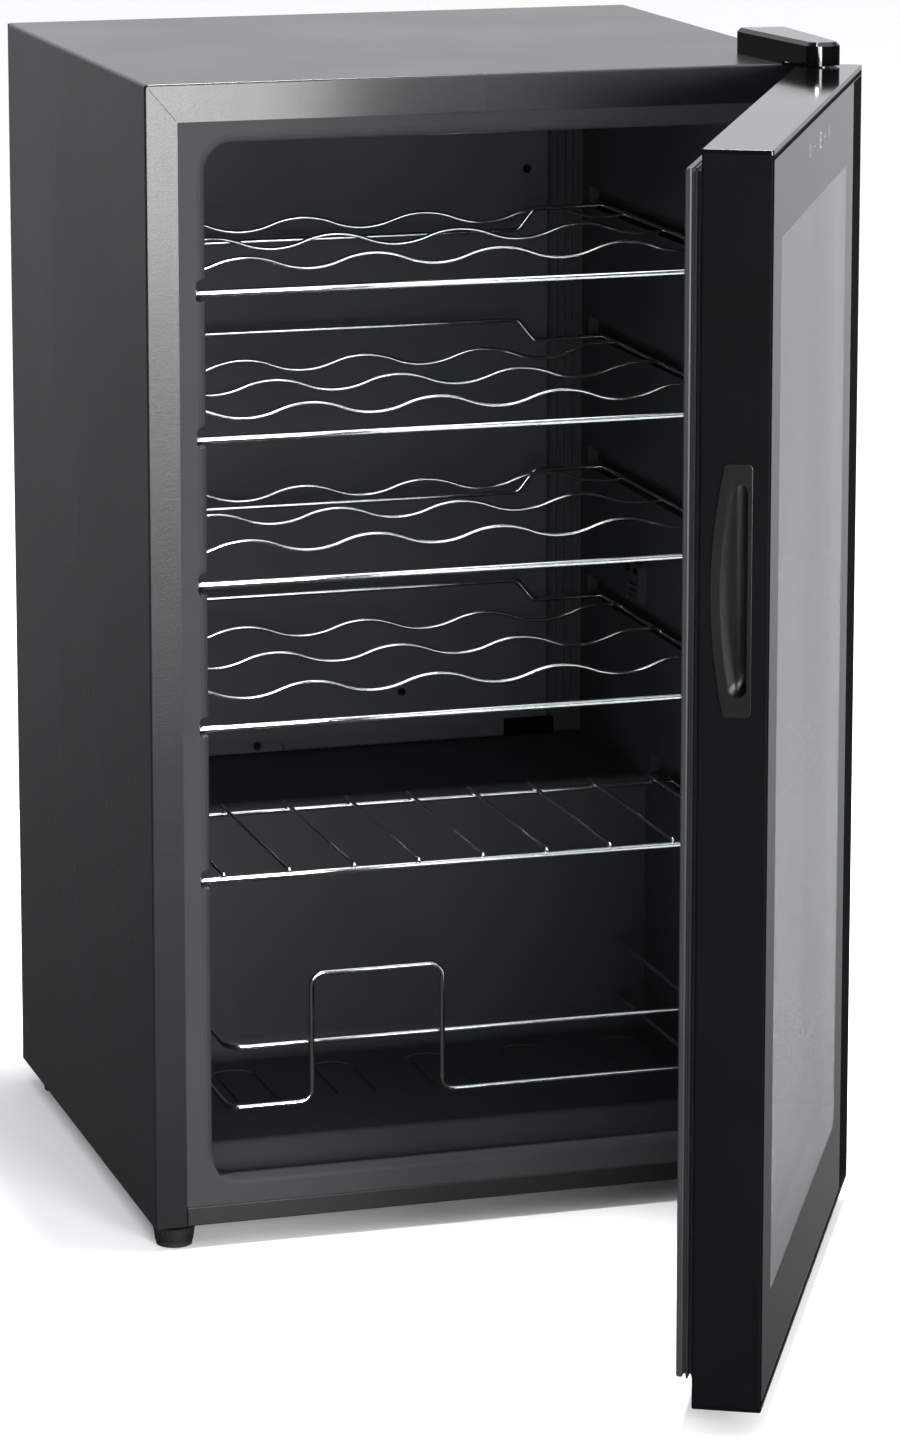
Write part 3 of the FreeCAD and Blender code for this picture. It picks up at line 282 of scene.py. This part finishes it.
# Polished tool, no grain: black with sharp highlights.
give(
    moulded("black_gloss_abs", "#030304", "#060607", 0.08, 0.42, 9.0, 0.004),
    "top_hinge_cover", "door_top_cap", "door_bottom_cap", "drain_spout",
)
# A little lighter and shinier than the frame round it, so the rims of the pocket show.
give(moulded("satin_black_handle_abs", "#0b0b0c", "#101011", 0.22, 0.55, 9.0, 0.004), "handle_pocket")
# Turned and moulded feet: black, waxy.
give(
    moulded("black_foot_nylon", "#0f0f10", "#171718", 0.45, 0.45),
    "levelling_foot_left", "levelling_foot_right", "rear_feet",
)
# Plain service mouldings at the back: satin black.
give(
    moulded("black_service_plastic", "#161617", "#1e1e1f", 0.48, 0.40),
    "compressor_relay_cover", "mains_cord_gland", "drip_tray",
)
# Unpainted white box and tube: warm white and satin.
give(moulded("white_service_plastic", "#c9c8c3", "#d6d5d0", 0.45, 0.45), "control_box", "drain_tube")
# Natural bearing plastic: ivory, slippery shine.
give(moulded("natural_acetal", "#d8d5c8", "#e2dfd4", 0.40, 0.45), "top_hinge_bush", "bottom_hinge_bush")
# Moulded rubber: black, dry.
give(
    moulded("soft_black_rubber", "#131313", "#1c1c1c", 0.70, 0.30),
    "compressor_grommets", "foot_sole_left", "foot_sole_right",
)
# Rubber filled with ferrite: brown black, chalky.
give(moulded("ferrite_rubber", "#201c1b", "#2a2524", 0.75, 0.30), "gasket_magnets")
# Foamed in place: straw yellow and matte, with a fine cell texture.
give(moulded("rigid_foam", "#d8c890", "#e6d8a8", 0.90, 0.20, 1.0, 0.2), "insulation_foam")
# Lacquered boards: dark green, smooth.
give(
    moulded("green_board_resist", "#0d3a20", "#14502c", 0.35, 0.50),
    "control_board", "touch_control_board",
)
# Tinted acrylic: near black and shiny.
give(moulded("smoked_display_lens", "#1c1d1f", "#242628", 0.15, 0.50), "display_block")
# Frosted lens: pale, soft.
give(moulded("frosted_lamp_lens", "#d5d9dc", "#e4e8ea", 0.35, 0.50), "interior_lamp_lens")


# ---- wire shelves and bottle fence ----------------------------------------------------
# Drawn steel rod, bent and welded, then plated with bright nickel and chrome. The
# shelves sit in the liner's channels, and the fence is sprung into holes.
def drawn_metal(name, tint, bright, roughness, streak_mm):
    """A bare or plated metal with a thin bloom that breaks up its shine."""
    material, tree, shader = start(name)
    place = add(tree, "ShaderNodeTexCoord").outputs["Object"]
    bloom = add(tree, "ShaderNodeTexNoise", {
        "Vector": place, "Scale": 1 / (streak_mm * MM), "Detail": 3.0,
    }).outputs["Fac"]
    colour = add(tree, "ShaderNodeMix", {
        0: bloom, 6: linear(tint), 7: linear(bright),
    }, data_type="RGBA").outputs[2]
    haze = add(tree, "ShaderNodeMapRange", {
        "Value": bloom, "To Min": roughness * 0.6, "To Max": roughness * 1.5,
    }).outputs["Result"]
    tree.links.new(colour, shader.inputs["Base Color"])
    tree.links.new(haze, shader.inputs["Roughness"])
    shader.inputs["Metallic"].default_value = 1.0
    return material


# A near mirror: thin white lines where it catches a lamp, dark where it sees gloom.
give(
    drawn_metal("bright_chrome_plate", "#d9dadb", "#f2f3f4", 0.10, 14.0),
    "wine_shelf_1", "wine_shelf_2", "wine_shelf_3", "wine_shelf_4", "flat_wire_shelf",
    "bottle_fence",
)


# ---- refrigerant pipes, evaporator plate and spacer bar -------------------------------
# Soft copper tube, brazed at the compressor and taped inside the side panels, with a
# roll-bonded aluminium plate behind the cover and a bar between the panes.
# Handled copper: warm and satin, with darker patches.
give(
    drawn_metal("drawn_copper", "#a8603c", "#c98258", 0.30, 9.0),
    "filter_drier", "discharge_pipe", "suction_pipe", "condenser_return_pipe",
    "capillary_tube", "condenser_tubes",
)
# Mill finish: pale grey with a hazy shine.
give(
    drawn_metal("rolled_aluminium", "#b9bcbe", "#d3d5d6", 0.34, 6.0),
    "evaporator_plate", "glass_spacer_bar",
)


# ---- door glass -----------------------------------------------------------------------
# Two panes of toughened float glass, sealed to the bar between them. The outer one is
# smoked and is bonded to the front of the frame.
ROLLER_WAVE_MM = 240.0


def float_glass(name, tint, roughness):
    """Clear or tinted glass with the faint roller wave that toughening leaves."""
    material, tree, shader = start(name)
    place = add(tree, "ShaderNodeTexCoord").outputs["Object"]
    roller = add(tree, "ShaderNodeTexNoise", {
        "Vector": place, "Scale": 1 / (ROLLER_WAVE_MM * MM), "Detail": 1.0,
    }).outputs["Fac"]
    bump = add(tree, "ShaderNodeBump", {
        "Height": roller, "Distance": 0.25 * MM, "Strength": 0.4,
    }).outputs["Normal"]
    tree.links.new(bump, shader.inputs["Normal"])
    shader.inputs["Base Color"].default_value = linear(tint)
    shader.inputs["Roughness"].default_value = roughness
    shader.inputs["IOR"].default_value = 1.52
    shader.inputs["Transmission Weight"].default_value = 1.0
    return material


# Neutral grey: darkens what is behind it and mirrors the room at a low angle.
give(float_glass("smoked_float_glass", "#b6babb", 0.02), "outer_glass")
# Clear, with the green of its edge.
give(float_glass("clear_float_glass", "#e9eeec", 0.0), "inner_glass")


# ---- printed border of the outer pane -------------------------------------------------
# Black ceramic ink, fired on the inside of the pane round the window. It hides the
# frame and is wider on the hinge side.
DOOR_FRONT = -268.0 * MM
PANE = 4.0 * MM
PANE_X = 236.2 * MM
PANE_LOW = 24.3 * MM
PANE_HIGH = 800.7 * MM
WINDOW_LOW = 81.5 * MM
WINDOW_HIGH = 749.0 * MM
FREE_BORDER = 42.2 * MM
HINGE_BORDER = 82.0 * MM
INK_FRONT = DOOR_FRONT + PANE - 0.35 * MM
INK_BACK = DOOR_FRONT + PANE - 0.15 * MM

# The door is drawn shut and then turned to the angle it rests at.
hinge = next(joint for joint in frame["joints"] if joint["name"] == "door_hinge")
hinge_place = Vector(hinge["pos_m"])
opened = Matrix.Rotation(radians(-hinge["range_deg"][0]), 4, "Z")
turn = Matrix.Translation(hinge_place) @ opened @ Matrix.Translation(-hinge_place)


def finish_piece(name, bm, material):
    """Turns a bmesh drawn on the shut door into a piece that rides on the door."""
    bmesh.ops.recalc_face_normals(bm, faces=bm.faces)
    mesh = bpy.data.meshes.new(name)
    bm.to_mesh(mesh)
    bm.free()
    mesh.transform(turn)
    mesh.materials.append(material)
    piece = bpy.data.objects.new(name, mesh)
    bpy.context.scene.collection.objects.link(piece)
    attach(piece, "door")
    return piece


def mitred_ring(profile, half_x, low, high):
    """A closed section of (inset, y) points carried round a rectangle, mitred at its corners."""
    bm = bmesh.new()
    count = len(profile)
    loops = []
    for side, top in ((-1, False), (1, False), (1, True), (-1, True)):
        corner = []
        for inset, y in profile:
            z = high - inset if top else low + inset
            corner.append(bm.verts.new((side * (half_x - inset), y, z)))
        loops.append([bm.edges.new((corner[i], corner[(i + 1) % count])) for i in range(count)])
    for i in range(4):
        bmesh.ops.bridge_loops(bm, edges=loops[i] + loops[(i + 1) % 4])
    return bm


border = mitred_ring(
    [(0, INK_FRONT), (FREE_BORDER, INK_FRONT), (FREE_BORDER, INK_BACK), (0, INK_BACK)],
    PANE_X, PANE_LOW, PANE_HIGH,
)
for vert in border.verts:
    if abs(vert.co.x) < PANE_X - FREE_BORDER / 2:
        vert.co.z = WINDOW_LOW if vert.co.z < (PANE_LOW + PANE_HIGH) / 2 else WINDOW_HIGH
        if vert.co.x > 0:
            vert.co.x = PANE_X - HINGE_BORDER
# Fired ink behind glass: black, with no shine of its own.
ink = moulded("black_ceramic_ink", "#040405", "#070708", 0.90, 0.0)
finish_piece("glass_border_print", border, ink)


# ---- hinge-side trim ------------------------------------------------------------------
# A flat black trim strip, stuck over the bonded edge of the pane from top to bottom on
# the hinge side.
TRIM_WIDE = 45.0 * MM
TRIM_THICK = 0.5 * MM
TRIM_SUNK = 0.2 * MM
trim = bmesh.new()
trim_size = Matrix.Diagonal((TRIM_WIDE, TRIM_THICK, PANE_HIGH - PANE_LOW, 1.0))
trim_middle = Vector((PANE_X - TRIM_WIDE / 2, DOOR_FRONT + TRIM_SUNK, (PANE_HIGH + PANE_LOW) / 2))
bmesh.ops.create_cube(trim, size=1.0, matrix=Matrix.Translation(trim_middle) @ trim_size)
# Matte plastic: a plain dark line beside the bright glass.
trim_black = moulded("black_edge_trim", "#030304", "#060607", 0.70, 0.05)
finish_piece("hinge_side_trim", trim, trim_black)


# ---- touch band -----------------------------------------------------------------------
# Printed pale grey on the inside of the outer pane: four plain key marks, two on each
# side of a small window with the temperature in lit bars behind it.
BAND_Z = 784.0
OUTER_KEY = 52.0
INNER_KEY = 27.0
STROKE = 1.1
INK_DEEP = 0.60
CROSS_DEEP = 0.74
INK_THICK = 0.12
RAYS = 8


def band_box(bm, x, z, wide, high, deep=INK_DEEP):
    """A flat bar of ink at (x, z) on the band, all in millimetres."""
    middle = Vector((x * MM, DOOR_FRONT + PANE - deep * MM, z * MM))
    size = Matrix.Diagonal((wide * MM, INK_THICK * MM, high * MM, 1.0))
    bmesh.ops.create_cube(bm, size=1.0, matrix=Matrix.Translation(middle) @ size)


def band_circle(bm, x, z, outer, inner):
    """A ring of ink, spun round its own middle."""
    middle = Vector((x * MM, DOOR_FRONT + PANE - INK_DEEP * MM, z * MM))
    spot = [
        bm.verts.new(middle + Vector((r * MM, side * INK_THICK * MM / 2, 0)))
        for r, side in ((inner, -1), (outer, -1), (outer, 1), (inner, 1))
    ]
    outline = [bm.edges.new((spot[i], spot[(i + 1) % 4])) for i in range(4)]
    bmesh.ops.spin(
        bm, geom=outline, cent=middle, axis=(0, 1, 0), angle=2 * pi, steps=32, use_merge=True,
    )


# Screen ink, lit faintly from behind: pale, with a fine stipple.
key_ink, tree, shader = start("pale_screen_ink")
place = add(tree, "ShaderNodeTexCoord").outputs["Object"]
stipple = add(tree, "ShaderNodeTexNoise", {"Vector": place, "Scale": 1 / (0.9 * MM)}).outputs["Fac"]
tone = add(tree, "ShaderNodeMix", {
    0: stipple, 6: linear("#c9cccf"), 7: linear("#eef0f1"),
}, data_type="RGBA").outputs[2]
tree.links.new(tone, shader.inputs["Base Color"])
tree.links.new(tone, shader.inputs["Emission Color"])
shader.inputs["Emission Strength"].default_value = 0.35
shader.inputs["Roughness"].default_value = 0.5

# From the free edge: standby ring, minus, plus, lamp. Where bars cross, one lies deeper.
marks = bmesh.new()
band_box(marks, -INNER_KEY, BAND_Z, 7.0, STROKE)
band_box(marks, INNER_KEY, BAND_Z, 7.0, STROKE)
band_box(marks, INNER_KEY, BAND_Z, STROKE, 7.0, CROSS_DEEP)
band_circle(marks, -OUTER_KEY, BAND_Z, 4.0, 3.1)
band_box(marks, -OUTER_KEY, BAND_Z + 3.4, STROKE, 4.4, CROSS_DEEP)
band_circle(marks, OUTER_KEY, BAND_Z, 2.6, 1.8)
for step in range(RAYS):
    angle = step * 2 * pi / RAYS
    band_box(marks, OUTER_KEY + 4.4 * cos(angle), BAND_Z + 4.4 * sin(angle), 1.0, 1.0)
finish_piece("touch_key_marks", marks, key_ink)

# Lamps behind a diffuser: cool white, a little uneven along a bar.
lit, tree, shader = start("cool_white_led_bars")
place = add(tree, "ShaderNodeTexCoord").outputs["Object"]
spill = add(tree, "ShaderNodeTexNoise", {"Vector": place, "Scale": 1 / (3.0 * MM)}).outputs["Fac"]
tone = add(tree, "ShaderNodeMix", {
    0: spill, 6: linear("#cfe4ee"), 7: linear("#ffffff"),
}, data_type="RGBA").outputs[2]
tree.links.new(tone, shader.inputs["Emission Color"])
tree.links.new(tone, shader.inputs["Base Color"])
shader.inputs["Emission Strength"].default_value = 2.4

# Each bar of a figure: where its middle is and whether it lies flat.
BAR = 4.6
BAR_THICK = 0.8
BAR_GAP = 1.0
BARS = {
    "a": (BAR / 2, 2 * BAR, True), "b": (BAR, 1.5 * BAR, False), "c": (BAR, 0.5 * BAR, False),
    "d": (BAR / 2, 0, True), "e": (0, 0.5 * BAR, False), "g": (BAR / 2, BAR, True),
}
digits = bmesh.new()
for figure_x, lit_bars in ((-6.6, "bc"), (2.0, "abged")):
    for letter in lit_bars:
        x, z, flat = BARS[letter]
        wide, high = (BAR - BAR_GAP, BAR_THICK) if flat else (BAR_THICK, BAR - BAR_GAP)
        band_box(digits, figure_x + x, BAND_Z - BAR + z, wide, high)
finish_piece("temperature_digits", digits, lit)


# ---- door seal ------------------------------------------------------------------------
# One extruded PVC section, mitred and welded at the corners: a flat base, two bellows
# folds and the fatter nose that holds the magnet strip. It stands in for the design's
# square-folded gasket.
DOOR_BACK = -224.5 * MM
SEAL_X = 228.0 * MM
SEAL_LOW = 32.5 * MM
SEAL_HIGH = 794.8 * MM
# Points of the section in millimetres: how far in from its outer edge, how far back.
OUTER_FOLDS = [
    (0.6, 0.0), (0.0, 0.7), (0.2, 1.5), (2.3, 2.3), (2.7, 2.9), (2.3, 3.5), (0.4, 4.1), (0.1, 4.7),
    (0.5, 5.3), (2.5, 5.9), (2.8, 6.5), (2.4, 7.1), (1.1, 7.6), (0.8, 8.6), (1.0, 10.9), (1.8, 11.7),
]
INNER_FOLDS = [
    (17.0, 11.7), (17.6, 11.0), (17.4, 8.0), (15.4, 6.8), (15.1, 5.8), (18.4, 4.9), (18.8, 4.2),
    (15.8, 3.4), (15.7, 2.2), (19.4, 1.4), (20.0, 0.5), (19.6, 0.0),
]
section = [(inset * MM, DOOR_BACK + depth * MM) for inset, depth in OUTER_FOLDS + INNER_FOLDS]
# Plasticised PVC: charcoal with a soft greasy shine.
seal_pvc = moulded("black_seal_pvc", "#1f2022", "#28292b", 0.42, 0.45, 2.4, 0.02)
ring = mitred_ring(section, SEAL_X, SEAL_LOW, SEAL_HIGH)
seal = finish_piece("bellows_seal", ring, seal_pvc)
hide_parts("door_gasket")
